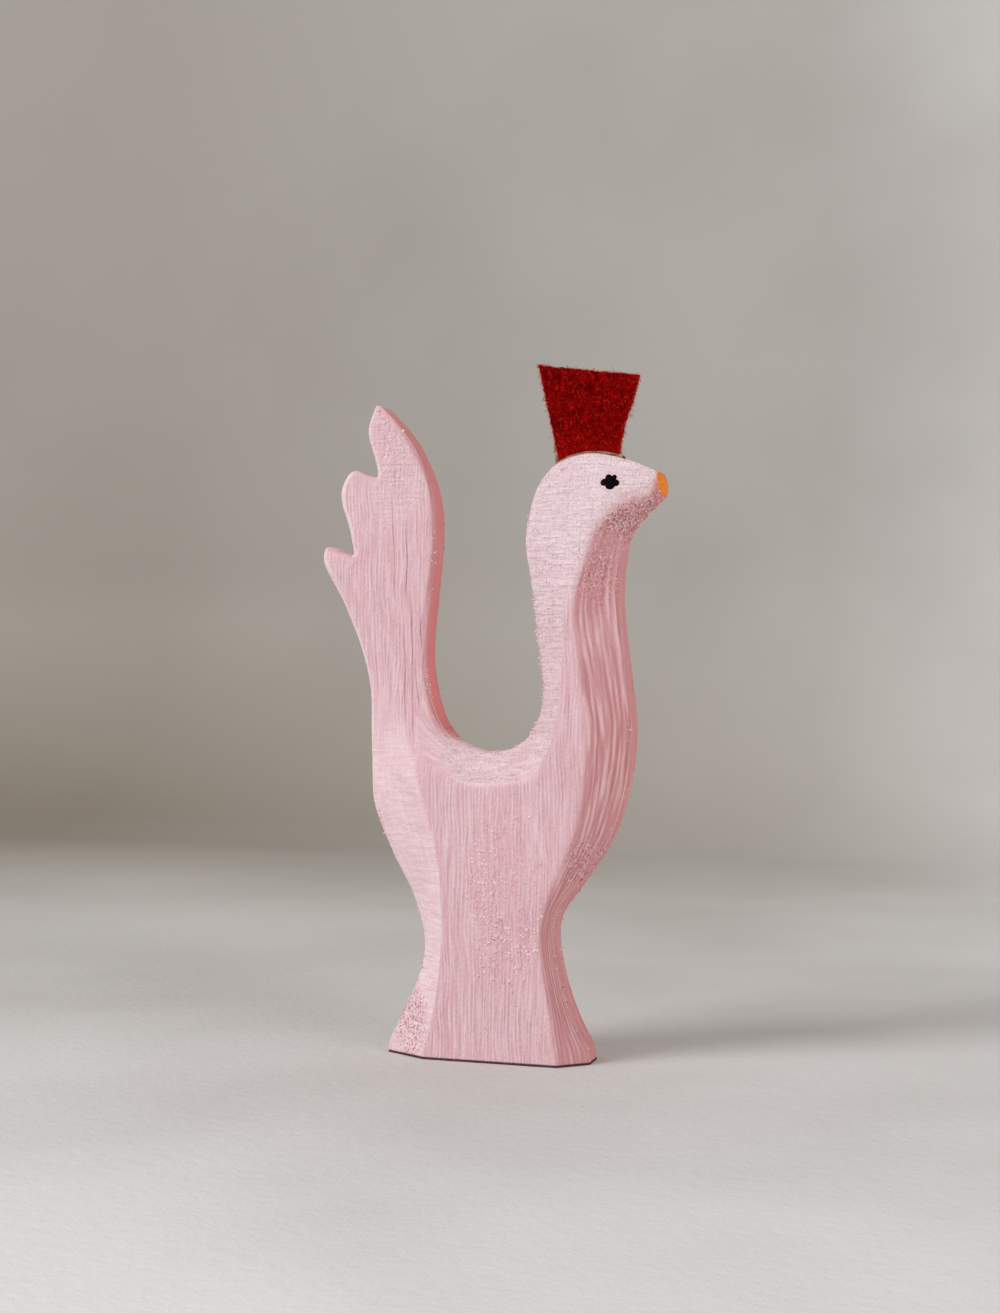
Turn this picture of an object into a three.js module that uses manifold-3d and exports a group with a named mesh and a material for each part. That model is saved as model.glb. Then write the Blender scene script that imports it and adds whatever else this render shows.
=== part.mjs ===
// A small hand-carved wooden bird, cut from one board and painted, with a wool-felt comb glued
// into a saw kerf on top of its head. Millimetres, +Z up, beak towards +X, flat foot on z = 0.
import * as THREE from "three";
import { mergeVertices } from "three/addons/utils/BufferGeometryUtils.js";
import { TessellateModifier } from "three/addons/modifiers/TessellateModifier.js";
import Module from "manifold-3d";

const wasm = await Module();
wasm.setup();

// Driving dimensions, mm.
const BOARD = 11; // thickness of the board at the belly
const HALF_BOARD = BOARD / 2;
const EDGE_BAND = 4.1; // saw-cut band left between the front and back bevels
const HALF_BAND = EDGE_BAND / 2;
const TAIL_RAMP_LOW = 41.5; // height where the tail starts to be thinned
const RAMP_LOW_BACK = [-9.6, TAIL_RAMP_LOW]; // x, z of the back end of that level line
const RAMP_LOW_INNER = [-6.0, TAIL_RAMP_LOW]; // and of its end at the saddle
const RAMP_HIGH_BACK = [-15.6, 59.5]; // the thinning stops at a slanting line: its back end
const RAMP_HIGH_INNER = [-8.4, 48]; // and its end at the inner edge of the tail
const TAIL_HALF_LOW = 2.65; // half thickness at the root of the tail
const TAIL_HALF_TOP = 2.3; // half thickness at the tip of the tail
const WOOD_TOP = 94.9; // top of the tail
const CROWN_TOP = 86.7; // top of the head
const BEAK_END = 25.6; // x of the tip of the beak
const BEAK_HALF = 2.6; // half thickness at the tip of the beak
const BEAK_TAPER = 0.34; // how fast the head thickens behind the beak
const HEAD_HALF = 5.1; // half thickness of the head at its thickest
const NECK_TAPER_LOW = 58; // heights between which the neck thins to the head's thickness
const NECK_TAPER_HIGH = 78;
const FACE_EDGE = 4.5; // longest triangle edge on the carved side faces
const TESSELLATE_PASSES = 40; // enough halvings to bring every edge below that
const ROUNDING = 4; // sharpness of the ridge between head and beak, per mm

// The comb, its kerf and its glue.
const FELT = 1.1; // thickness of the felt
const COMB_TOP_LEFT = [7.0, 99.8];
const COMB_TOP_RIGHT = [22.0, 97.7];
const COMB_BASE_LEFT = [9.9, 86.5];
const COMB_BASE_RIGHT = [18.9, 86.4];
const COMB_NECK = 2; // height of the upright stretch above the right end of the comb's base
const COMB_NECK_LEAN = 0.15;
const COMB_ROOT = 82.6; // bottom of the felt inside the kerf
const COMB_ROOT_TAPER = 0.6;
const KERF = 2; // width of the saw kerf
const KERF_BOTTOM = 81.6;
const KERF_BACK = 9.4;
const KERF_FRONT = 19.6;
const GLUE_GAP = 0.1; // clearance of the glue to the wood and to the felt
const GLUE_LIP = 0.45; // height of the squeezed-out glue above the head
const GLUE_LIP_WIDTH = 0.45;
const GLUE_STATIONS = 12; // points along the lip, which follows the curve of the head

// The painted beak and eyes.
const COAT_LINE_TOP = [24.0, 86]; // slanting line where the coat starts, above the beak
const COAT_LINE_BOTTOM = [25.5, 78]; // and below it
const COAT_SET_BACK = 1.5; // how far behind that line the beak is taken for the coat's hollow
const BEAK_MIDDLE = [24.5, 0, 82];
const COAT_INNER = 1.05; // size of the hollow in the coat, against the beak
const COAT_OUTER = 1.12; // size of the coat, against the beak
const EYE = [18.7, 82.2];
// The round brush touches that make up the eye: x and z from its centre, and radius.
const EYE_TOUCHES = [
  [0, 0, 0.75],
  [-0.85, -0.1, 0.48],
  [-0.28, 0.62, 0.42],
  [0.55, 0.62, 0.36],
  [0.82, -0.2, 0.45],
  [0.05, -0.4, 0.62],
];
const EYE_POINTS = 48;
const EYE_GAP = 0.1;
const EYE_THICKNESS = 0.25;

// The outline, counter-clockwise, as runs that meet at corners. Each knot is a point on the
// saw-cut edge, then the point where the bevel from that edge meets the side face: x, z, x, z.
const RUMP = [
  [-25.3, 74.2, -24.8, 73.5],
  [-25.8, 72.2, -25.0, 72.2],
  [-24.9, 70.1, -23.9, 70.4],
  [-22.8, 66.5, -20.6, 67.3],
  [-21.2, 62.9, -17.6, 63.6],
  [-19.8, 59.4, ...RAMP_HIGH_BACK],
  [-18.8, 55.9, -13.8, 56.2],
  [-18.2, 52.3, -12.8, 52.3],
  [-18.1, 47.0, -10.8, 47.0],
  [-18.0, 41.5, ...RAMP_LOW_BACK],
  [-17.7, 36.5, -8.6, 37.0],
  [-14.9, 29.5, -6.8, 30.0],
  [-11.3, 22.6, -6.2, 22.9],
  [-9.8, 16.5, -6.2, 16.2],
  [-10.5, 12.1, -6.5, 12.0],
  [-13.6, 5.0, -7.7, 4.9],
  [-15.4, 1.4, -8.6, 1.5],
  [-15.1, 0, -8.8, 0],
];
const FOOT = [
  [-15.1, 0, -8.8, 0],
  [14.9, 0, 11.0, 0],
];
const BREAST = [
  [14.9, 0, 11.0, 0],
  [14.8, 2.0, 10.9, 2.1],
  [13.4, 4.6, 10.6, 4.7],
  [10.9, 10.8, 9.7, 10.6],
  [9.5, 17.7, 8.7, 17.2],
  [10.3, 21.2, 9.3, 21.6],
  [13.0, 24.8, 11.0, 26.0],
  [17.7, 31.8, 13.7, 33.2],
  [20.1, 38.8, 14.8, 39.6],
  [21.1, 47.4, 15.4, 47.0],
  [20.5, 54.2, 14.4, 54.2],
  [19.5, 62.8, 13.2, 62.4],
  [19.2, 67.0, 13.8, 67.2],
  [19.6, 71.4, 15.3, 72.0],
  [20.4, 75.0, 17.0, 76.2],
  [22.9, 78.2, 20.9, 79.0],
  [24.7, 79.8, 24.0, 80.5],
];
const BEAK = [
  [24.7, 79.8, 24.0, 80.5],
  [BEAK_END - 0.2, 80.6, 24.6, 81.0],
  [BEAK_END, 82.2, 24.7, 81.7],
  [25.1, 83.7, 24.2, 82.2],
];
const CROWN = [
  [25.1, 83.7, 24.2, 82.2],
  [22.6, 84.9, 22.0, 81.0],
  [19.5, 86.0, 19.6, 80.2],
  [15.8, CROWN_TOP, 17.9, 79.5],
  [12.5, 86.4, 16.9, 78.8],
  [9.6, 85.1, 16.1, 77.9],
  [7.3, 82.1, 15.3, 76.3],
  [6.0, 78.0, 14.5, 74.3],
  [5.5, 74.0, 13.8, 72.0],
  [6.2, 69.5, 12.8, 68.9],
  [6.8, 64.5, 12.2, 64.4],
  [7.6, 58.5, 12.0, 58.6],
  [8.1, 53.0, 11.6, 53.0],
  [7.7, 49.6, 11.0, 48.0],
  [5.2, 45.7, 7.9, 41.0],
  [1.7, 44.2, 2.2, 39.5],
  [-1.6, 44.2, -2.2, 39.5],
  [-4.6, 45.5, ...RAMP_LOW_INNER],
  [-6.4, 47.2, -7.6, 44.4],
  [-7.6, 49.2, ...RAMP_HIGH_INNER],
  [-9.2, 55.0, -9.6, 54.9],
  [-9.5, 60.0, -9.9, 60.0],
  [-8.9, 66.5, -9.4, 66.4],
  [-8.1, 75.3, -8.6, 75.3],
  [-8.6, 81.8, -9.1, 81.7],
  [-11.0, 87.8, -11.5, 87.6],
  [-13.8, 91.8, -14.2, 91.4],
  [-16.7, WOOD_TOP - 0.1, -16.8, 94.3],
];
const TOP_FEATHER_TIP = [
  [-16.7, WOOD_TOP - 0.1, -16.8, 94.3],
  [-17.4, WOOD_TOP, -17.1, 94.2],
];
const TOP_FEATHER = [
  [-17.4, WOOD_TOP, -17.1, 94.2],
  [-18.7, 91.0, -17.9, 90.9],
  [-17.6, 87.0, -16.9, 87.0],
  [-16.9, 84.0, -16.3, 83.5],
];
const MIDDLE_FEATHER_TOP = [
  [-16.9, 84.0, -16.3, 83.5],
  [-18.8, 84.6, -18.6, 84.0],
  [-20.6, 85.4, -20.4, 84.7],
];
const MIDDLE_FEATHER = [
  [-20.6, 85.4, -20.4, 84.7],
  [-21.6, 85.0, -21.1, 84.3],
  [-23.0, 81.7, -22.2, 81.6],
  [-21.7, 77.2, -21.0, 77.0],
  [-20.7, 72.6, -20.1, 72.1],
];
const LOW_FEATHER_TOP = [
  [-20.7, 72.6, -20.1, 72.1],
  [-22.6, 73.2, -22.4, 72.6],
  [-24.3, 74.0, -24.0, 73.4],
  [-25.3, 74.2, -24.8, 73.5],
];
const POINT_SPACING = 1.7; // spacing of the outline's points along a run

// Runs from one number to another while the value goes from low to high, level beyond them.
function ramp(value, low, high, from, to) {
  const part = THREE.MathUtils.clamp((value - low) / (high - low), 0, 1);
  return THREE.MathUtils.lerp(from, to, part);
}

// The half thickness of the side faces: the board's flat face, thinned towards the top of the
// tail, a little towards the head, and more towards the beak.
function tailHalf(x, z) {
  const [backX, backZ] = RAMP_HIGH_BACK;
  const [innerX, innerZ] = RAMP_HIGH_INNER;
  const rampEnd = ramp(x, backX, innerX, backZ, innerZ);
  const thinned = ramp(z, TAIL_RAMP_LOW, rampEnd, HALF_BOARD, TAIL_HALF_LOW);
  return thinned + ramp(z, backZ, WOOD_TOP, 0, TAIL_HALF_TOP - TAIL_HALF_LOW);
}

// The smaller of the neck's and the beak's half thickness, with a rounded ridge between them.
function headHalf(x, z) {
  const neck = ramp(z, NECK_TAPER_LOW, NECK_TAPER_HIGH, HALF_BOARD, HEAD_HALF);
  const beak = BEAK_HALF + BEAK_TAPER * (BEAK_END - x);
  return -Math.log(Math.exp(-ROUNDING * neck) + Math.exp(-ROUNDING * beak)) / ROUNDING;
}

function faceHalf(x, z) {
  return x < 0 ? tailHalf(x, z) : headHalf(x, z);
}

// The side faces are stored as 32-bit numbers, so the rim that they meet is rounded the same way.
function singlePrecision(point) {
  return point.set(Math.fround(point.x), Math.fround(point.y), Math.fround(point.z));
}

// Points along one run, as { edge, line } pairs, without the last one, which starts the next run.
function sampleRun(knots) {
  const edgeCurve = new THREE.CatmullRomCurve3(
    knots.map(([x, z]) => new THREE.Vector3(x, 0, z)),
    false,
    "centripetal",
  );
  const lineCurve = new THREE.CatmullRomCurve3(
    knots.map(([, , x, z]) => new THREE.Vector3(x, 0, z)),
    false,
    "centripetal",
  );
  const points = [];
  for (let k = 0; k < knots.length - 1; k++) {
    const [edgeX, edgeZ, lineX, lineZ] = knots[k + 1].map((value, n) => value - knots[k][n]);
    const longest = Math.max(Math.hypot(edgeX, edgeZ), Math.hypot(lineX, lineZ));
    const steps = Math.ceil(longest / POINT_SPACING);
    for (let i = 0; i < steps; i++) {
      const t = (k + i / steps) / (knots.length - 1);
      points.push({ edge: edgeCurve.getPoint(t), line: singlePrecision(lineCurve.getPoint(t)) });
    }
  }
  return points;
}

function triangleSoup() {
  const positions = [];
  return {
    add(...points) {
      for (const p of points) positions.push(p.x, p.y, p.z);
    },
    geometry() {
      const soup = new THREE.BufferGeometry();
      soup.setAttribute("position", new THREE.Float32BufferAttribute(positions, 3));
      return soup;
    },
  };
}

function atDepth(point, y) {
  return new THREE.Vector3(point.x, y, point.z);
}

function indexNearest(contour, [x, z]) {
  const distances = contour.map((p) => Math.hypot(p.x - x, p.z - z));
  return distances.indexOf(Math.min(...distances));
}

// The side face in three pieces, split where the thinning of the tail starts and ends.
function sideFacePieces(contour) {
  const highBack = indexNearest(contour, RAMP_HIGH_BACK);
  const highInner = indexNearest(contour, RAMP_HIGH_INNER);
  const lowBack = indexNearest(contour, RAMP_LOW_BACK);
  const lowInner = indexNearest(contour, RAMP_LOW_INNER);
  return [
    [...contour.slice(highInner), ...contour.slice(0, highBack + 1)],
    [...contour.slice(highBack, lowBack + 1), ...contour.slice(lowInner, highInner + 1)],
    contour.slice(lowBack, lowInner + 1),
  ];
}

// One side face inside its bevel lines, as triangles small enough to follow faceHalf.
function sideFaceTriangles(linePoints) {
  const soup = triangleSoup();
  for (const piece of sideFacePieces(linePoints)) {
    const contour = piece.map((p) => new THREE.Vector2(p.x, p.z));
    for (const [a, b, c] of THREE.ShapeUtils.triangulateShape(contour, [])) {
      soup.add(piece[a], piece[b], piece[c]);
    }
  }
  const fine = new TessellateModifier(FACE_EDGE, TESSELLATE_PASSES).modify(soup.geometry());
  const position = fine.getAttribute("position");
  const triangles = [];
  for (let i = 0; i < position.count; i += 3) {
    triangles.push([0, 1, 2].map((k) => new THREE.Vector3().fromBufferAttribute(position, i + k)));
  }
  return triangles;
}

// The whole carved figure: edge band, front and back bevels, and the two side faces.
function carvedFigure() {
  const runs = [
    RUMP,
    FOOT,
    BREAST,
    BEAK,
    CROWN,
    TOP_FEATHER_TIP,
    TOP_FEATHER,
    MIDDLE_FEATHER_TOP,
    MIDDLE_FEATHER,
    LOW_FEATHER_TOP,
  ];
  const ring = runs.flatMap(sampleRun);
  const linePoints = ring.map(({ line }) => line);
  const halfAt = (p) => faceHalf(p.x, p.z);
  const rings = [
    ring.map(({ line }) => atDepth(line, -halfAt(line))),
    ring.map(({ edge }) => atDepth(edge, -HALF_BAND)),
    ring.map(({ edge }) => atDepth(edge, HALF_BAND)),
    ring.map(({ line }) => atDepth(line, halfAt(line))),
  ];
  const soup = triangleSoup();
  for (let r = 0; r < rings.length - 1; r++) {
    for (let i = 0; i < ring.length; i++) {
      const next = (i + 1) % ring.length;
      soup.add(rings[r][i], rings[r + 1][i], rings[r + 1][next]);
      soup.add(rings[r][i], rings[r + 1][next], rings[r][next]);
    }
  }
  for (const [a, b, c] of sideFaceTriangles(linePoints)) {
    soup.add(atDepth(a, -halfAt(a)), atDepth(b, -halfAt(b)), atDepth(c, -halfAt(c)));
    soup.add(atDepth(a, halfAt(a)), atDepth(c, halfAt(c)), atDepth(b, halfAt(b)));
  }
  return solid(soup.geometry());
}

// Conversions between three.js geometry and manifold solids.
function solid(geometry) {
  const bare = geometry.clone();
  bare.deleteAttribute("normal");
  bare.deleteAttribute("uv");
  const merged = mergeVertices(bare, 1e-3);
  return new wasm.Manifold(
    new wasm.Mesh({
      numProp: 3,
      vertProperties: merged.getAttribute("position").array,
      triVerts: new Uint32Array(merged.index.array),
    }),
  );
}

function geometryOf(manifold) {
  const made = manifold.getMesh();
  const geometry = new THREE.BufferGeometry();
  geometry.setAttribute("position", new THREE.BufferAttribute(made.vertProperties, 3));
  geometry.setIndex(new THREE.BufferAttribute(made.triVerts, 1));
  geometry.computeVertexNormals();
  return geometry;
}

// A side view outline [[x, z], ...], counter-clockwise, extruded from y = low to y = high.
function extrudeAcross(outline, low, high) {
  const shape = new THREE.Shape(outline.map(([x, z]) => new THREE.Vector2(x, z)));
  const geometry = new THREE.ExtrudeGeometry(shape, { depth: high - low, bevelEnabled: false });
  geometry.rotateX(Math.PI / 2);
  geometry.translate(0, high, 0);
  return geometry;
}

// The height of the head's top edge at x, by the same run that cuts the wood.
function crownHeight(x) {
  const points = sampleRun(CROWN).map(({ edge }) => edge);
  const after = points.findIndex((p) => p.x <= x);
  const right = points[after - 1];
  const left = points[after];
  return THREE.MathUtils.mapLinear(x, left.x, right.x, left.z, right.z);
}

function boxBetween([x0, y0, z0], [x1, y1, z1]) {
  const box = new THREE.BoxGeometry(x1 - x0, y1 - y0, z1 - z0);
  return box.translate((x0 + x1) / 2, (y0 + y1) / 2, (z0 + z1) / 2);
}

function kerfCutter() {
  const low = [KERF_BACK, -KERF / 2, KERF_BOTTOM];
  const high = [KERF_FRONT, KERF / 2, CROWN_TOP + 1];
  return solid(boxBetween(low, high));
}

// A trapezoid, wider at the top, whose root narrows a little inside the kerf.
function feltComb() {
  const outline = [
    [COMB_BASE_LEFT[0] + COMB_ROOT_TAPER, COMB_ROOT],
    [COMB_BASE_RIGHT[0], COMB_ROOT],
    COMB_BASE_RIGHT,
    [COMB_BASE_RIGHT[0] + COMB_NECK_LEAN, COMB_BASE_RIGHT[1] + COMB_NECK],
    COMB_TOP_RIGHT,
    COMB_TOP_LEFT,
    COMB_BASE_LEFT,
  ];
  return extrudeAcross(outline, -FELT / 2, FELT / 2);
}

// Glue: two layers beside the felt's root, joined under it, and a lip squeezed out on top.
function combGlue() {
  const back = KERF_BACK + GLUE_GAP;
  const front = KERF_FRONT - GLUE_GAP;
  const outer = KERF / 2 - GLUE_GAP;
  const inner = FELT / 2 + GLUE_GAP;
  const floor = KERF_BOTTOM + GLUE_GAP;
  const stations = Array.from({ length: GLUE_STATIONS + 1 }, (_, i) =>
    THREE.MathUtils.lerp(back, front, i / GLUE_STATIONS),
  );
  const lipBottom = stations.map((x) => [x, crownHeight(x) + GLUE_GAP]);
  const lipTop = stations.map((x) => [x, crownHeight(x) + GLUE_LIP]).reverse();
  const filling = extrudeAcross([[back, floor], [front, floor], ...lipTop], -outer, outer);
  const lipHalf = outer + GLUE_LIP_WIDTH;
  const lip = extrudeAcross([...lipBottom, ...lipTop], -lipHalf, lipHalf);
  const slotLow = [KERF_BACK, -inner, COMB_ROOT - GLUE_GAP];
  const slotHigh = [KERF_FRONT, inner, CROWN_TOP + 1];
  const feltSlot = boxBetween(slotLow, slotHigh);
  return solid(filling).add(solid(lip)).subtract(solid(feltSlot));
}

// Everything in front of the slanting line where the coat on the beak starts.
function beakRegion(setBack) {
  const front = BEAK_END + 1;
  const outline = [
    [COAT_LINE_BOTTOM[0] - setBack, COAT_LINE_BOTTOM[1]],
    [front, COAT_LINE_BOTTOM[1]],
    [front, COAT_LINE_TOP[1]],
    [COAT_LINE_TOP[0] - setBack, COAT_LINE_TOP[1]],
  ];
  return solid(extrudeAcross(outline, -HALF_BOARD, HALF_BOARD));
}

function grownBeak(figure, growth) {
  return figure
    .intersect(beakRegion(COAT_SET_BACK))
    .translate(BEAK_MIDDLE.map((value) => -value))
    .scale([growth, growth, growth])
    .translate(BEAK_MIDDLE);
}

function beakCoat(figure) {
  const shell = grownBeak(figure, COAT_OUTER).subtract(grownBeak(figure, COAT_INNER));
  return shell.intersect(beakRegion(0));
}

// The outline of a few overlapping round brush touches, seen from the eye's centre.
function eyeOutline() {
  return Array.from({ length: EYE_POINTS }, (_, i) => {
    const turn = (i / EYE_POINTS) * Math.PI * 2;
    const ux = Math.cos(turn);
    const uz = Math.sin(turn);
    const reaches = EYE_TOUCHES.map(([x, z, radius]) => {
      const across = x * uz - z * ux;
      const halfChord = Math.sqrt(Math.max(0, radius * radius - across * across));
      return halfChord > 0 ? x * ux + z * uz + halfChord : 0;
    });
    const reach = Math.max(...reaches);
    return [EYE[0] + reach * ux, EYE[1] + reach * uz];
  });
}

// A thin dab that follows the side of the head, on the side given by the sign.
function eyeDab(figure, side) {
  const wood = new THREE.Mesh(geometryOf(figure));
  const ray = new THREE.Raycaster();
  const inwards = new THREE.Vector3(0, -1, 0);
  const geometry = extrudeAcross(eyeOutline(), EYE_GAP, EYE_GAP + EYE_THICKNESS);
  const position = geometry.getAttribute("position");
  for (let i = 0; i < position.count; i++) {
    const start = new THREE.Vector3(position.getX(i), BOARD, position.getZ(i));
    ray.set(start, inwards);
    const surface = ray.intersectObject(wood)[0].point.y;
    position.setY(i, position.getY(i) + surface);
  }
  const dab = solid(geometry);
  return geometryOf(side > 0 ? dab : dab.mirror([0, 1, 0]));
}

function material(color, roughness) {
  return new THREE.MeshStandardMaterial({ color, roughness, metalness: 0 });
}

const PINK_PAINT = material(0xdcb9c0, 0.85);
const RED_FELT = material(0xa01010, 1);
const DRIED_GLUE = material(0xb89a70, 0.45);
const ORANGE_PAINT = material(0xd98010, 0.6);
const BLACK_PAINT = material(0x0a0a10, 0.5);

function part(name, geometry, partMaterial) {
  const mesh = new THREE.Mesh(geometry, partMaterial);
  mesh.name = name;
  return mesh;
}

const figure = carvedFigure();
const bird = new THREE.Group();
bird.add(part("wood_body", geometryOf(figure.subtract(kerfCutter())), PINK_PAINT));
bird.add(part("felt_comb", feltComb(), RED_FELT));
bird.add(part("comb_glue", geometryOf(combGlue()), DRIED_GLUE));
bird.add(part("beak_paint", geometryOf(beakCoat(figure)), ORANGE_PAINT));
bird.add(part("eye_paint_left", eyeDab(figure, 1), BLACK_PAINT));
bird.add(part("eye_paint_right", eyeDab(figure, -1), BLACK_PAINT));

export default bird;
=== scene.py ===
# Looks of a small carved wooden bird: painted, brushed wood, a wool-felt comb, an orange beak and
# black eye dabs, on a pale sweep in soft window light. Lengths in the code are millimetres until a
# mesh is made, and metres in Blender.
import itertools
import math

import bmesh
import bpy
import numpy as np
from mathutils import Matrix, Vector
from mathutils.bvhtree import BVHTree


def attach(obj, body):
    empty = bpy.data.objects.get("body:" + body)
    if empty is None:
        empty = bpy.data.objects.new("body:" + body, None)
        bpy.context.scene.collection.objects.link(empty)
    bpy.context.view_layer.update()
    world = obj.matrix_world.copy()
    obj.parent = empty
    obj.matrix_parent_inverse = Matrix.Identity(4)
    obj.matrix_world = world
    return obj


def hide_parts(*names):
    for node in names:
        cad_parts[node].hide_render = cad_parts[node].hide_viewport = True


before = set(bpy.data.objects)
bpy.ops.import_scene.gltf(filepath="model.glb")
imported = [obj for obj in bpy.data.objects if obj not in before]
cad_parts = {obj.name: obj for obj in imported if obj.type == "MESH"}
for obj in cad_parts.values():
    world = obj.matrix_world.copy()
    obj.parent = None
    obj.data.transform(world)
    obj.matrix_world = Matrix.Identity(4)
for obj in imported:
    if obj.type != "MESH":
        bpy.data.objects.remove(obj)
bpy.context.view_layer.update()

MM = 0.001
SEED = 7

# Carved figure.
BODY_VOXEL = 0.215  # mesh spacing of the carved body across the grain
GRAIN_STRETCH = 2.3  # how much coarser the mesh is along the grain, which runs up the board
SMOOTH_ROUNDS = 7  # rounds that soften the knife's ridges all over
EDGE_SHARE = 0.3  # how far the saw-cut edge band takes part in that, so that tips stay crisp
SOFT_ROUNDS = 67  # more rounds where the facets run into each other
SOFT_SPOTS = [  # x, z, half width, half height of those places
    (-9.0, 48.5, 8.0, 12.0),
    (20.5, 80.5, 3.6, 3.0),
]
HALF_BAND = 2.05  # half width of the saw-cut edge band
KERF_BOX = ((8.9, -1.5, 81.0), (20.1, 1.5, 90.0))  # the wood here keeps its exact place

# Felt comb, front view corners x, z, as the CAD has them.
FELT_HALF = 0.5
COMB_TOP_LEFT = (7.0, 99.8)
COMB_TOP_RIGHT = (22.0, 97.7)
COMB_BASE_LEFT = (9.9, 86.5)
COMB_BASE_RIGHT = (18.9, 86.4)
COMB_ROOT = 82.6
COMB_ROOT_TAPER = 0.6
COMB_BOW = 0.35  # how far the right edge is hollowed
COMB_BOW_SHARE = 5 / 7  # over this share of its height above the base
BASE_SHARE = (COMB_BASE_LEFT[1] - COMB_ROOT) / (COMB_TOP_LEFT[1] - COMB_ROOT)
FELT_COLUMNS = 76
FELT_ROWS = 86
FELT_FIBRES = 5200
FELT_EDGE_FIBRES = 2400
FIBRE_RADIUS = 0.022

# Camera and picture.
CAMERA_PLACE = (0.0839, -0.2627, 0.0579)
CAMERA_TURN = math.radians(17.5)
CAMERA_LENS = 1900 * 36 / 1313
CAMERA_SENSOR = 36


# ---- numbers on points

NOISE_SHIFT = 37.3  # keeps the noise's cells from lining up with the middle of the figure


def repeatable(cells, seed):
    """A repeatable number from -1 to 1 for each whole-number point, its bits mixed by large primes."""
    x, y, z = (cells[:, axis].astype(np.int64) for axis in range(3))
    mixed = (x * 73856093) ^ (y * 19349663) ^ (z * 83492791) ^ (seed * 50331653 + SEED * 7919)
    mixed = ((mixed ^ (mixed >> 13)) * 1274126177) & 0x7FFFFFFF
    mixed = ((mixed ^ (mixed >> 15)) * 668265263) & 0x7FFFFFFF
    mixed = mixed ^ (mixed >> 11)
    return (mixed & 0xFFFFF) / 0x7FFFF - 1


def noise(points, per_mm, seed):
    """Smooth noise from -1 to 1. per_mm is how many bumps it has in a millimetre of x, y and z."""
    at = points * np.asarray(per_mm, float) + NOISE_SHIFT
    low = np.floor(at)
    part = at - low
    part = part**3 * (part * (part * 6 - 15) + 10)
    total = np.zeros(len(points))
    for corner in itertools.product((0, 1), repeat=3):
        weight = np.ones(len(points))
        for axis, side in enumerate(corner):
            weight *= part[:, axis] if side else 1 - part[:, axis]
        total += weight * repeatable(low + corner, seed)
    return total


def smoothstep(value, low, high):
    part = np.clip((value - low) / (high - low), 0, 1)
    return part * part * (3 - 2 * part)


def spot(points, x, z, half_width, half_height, core=0.55):
    """1 in the core of a soft-edged ellipse seen from the side, 0 beyond its edge."""
    away = np.hypot((points[:, 0] - x) / half_width, (points[:, 2] - z) / half_height)
    return 1 - smoothstep(away, core, 1.0)


def part_way(start, end, share):
    """The point at a share of the way from one point to another."""
    return tuple(a + share * (b - a) for a, b in zip(start, end))


def inside(points, box):
    low, high = box
    return np.all((points > low) & (points < high), axis=1)


# ---- meshes

def linked(name, mesh):
    piece = bpy.data.objects.new(name, mesh)
    bpy.context.scene.collection.objects.link(piece)
    return piece


def piece_from(name, points_mm, faces):
    mesh = bpy.data.meshes.new(name)
    mesh.from_pydata((np.asarray(points_mm) * MM).tolist(), [], [list(face) for face in faces])
    mesh.validate()
    mesh.shade_smooth()
    return linked(name, mesh)


def gathered(items, key, columns, kind=float):
    """A row of numbers for each item of a mesh."""
    values = np.zeros(len(items) * columns, kind)
    items.foreach_get(key, values)
    return values.reshape(-1, columns)


def points_of(mesh):
    return gathered(mesh.vertices, "co", 3) / MM


def put_points(mesh, points):
    mesh.vertices.foreach_set("co", (points * MM).ravel())
    mesh.update()


def normals_of(mesh):
    return gathered(mesh.vertex_normals, "vector", 3)


def edges_of(mesh):
    return gathered(mesh.edges, "vertices", 2, np.int64)


def read_attribute(mesh, name):
    return gathered(mesh.attributes[name].data, "value", 1)[:, 0]


def put_attribute(mesh, name, values):
    layer = mesh.attributes.new(name, "FLOAT", "POINT")
    layer.data.foreach_set("value", np.asarray(values, np.float32))


def closed_skin(sheet, rim, count):
    """Faces of a closed skin: a sheet's, the same on the sheet count points later, and its rim's."""
    faces = []
    for ring in sheet:
        faces.append(ring)
        faces.append([index + count for index in reversed(ring)])
    faces.extend([there, here, here + count, there + count] for here, there in rim)
    return faces


def tube_faces(rings, spokes):
    """Faces of a closed tube, its points given ring by ring."""
    faces = []
    for base in range(0, (rings - 1) * spokes, spokes):
        for k in range(spokes):
            after = (k + 1) % spokes
            faces.append([base + k, base + after, base + spokes + after, base + spokes + k])
    faces.append(list(range(spokes))[::-1])
    faces.append([(rings - 1) * spokes + k for k in range(spokes)])
    return faces


def remeshed(node, voxel_mm, name, stretch=1.0, reshape=None):
    """A new piece with the shape of a CAD node on a fine mesh, stretch times coarser up than across.
    reshape may move the points before that."""
    piece = linked(name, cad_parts[node].data.copy())
    if reshape:
        put_points(piece.data, reshape(points_of(piece.data)))
    piece.data.transform(Matrix.Diagonal((1, 1, 1 / stretch, 1)))
    remesh = piece.modifiers.new("Remesh", "REMESH")
    remesh.mode = "VOXEL"
    remesh.voxel_size = voxel_mm * MM
    graph = bpy.context.evaluated_depsgraph_get()
    mesh = bpy.data.meshes.new_from_object(piece.evaluated_get(graph))
    piece.modifiers.clear()
    piece.data = mesh
    mesh.transform(Matrix.Diagonal((1, 1, stretch, 1)))
    mesh.materials.clear()
    mesh.shade_smooth()
    return piece


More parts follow.
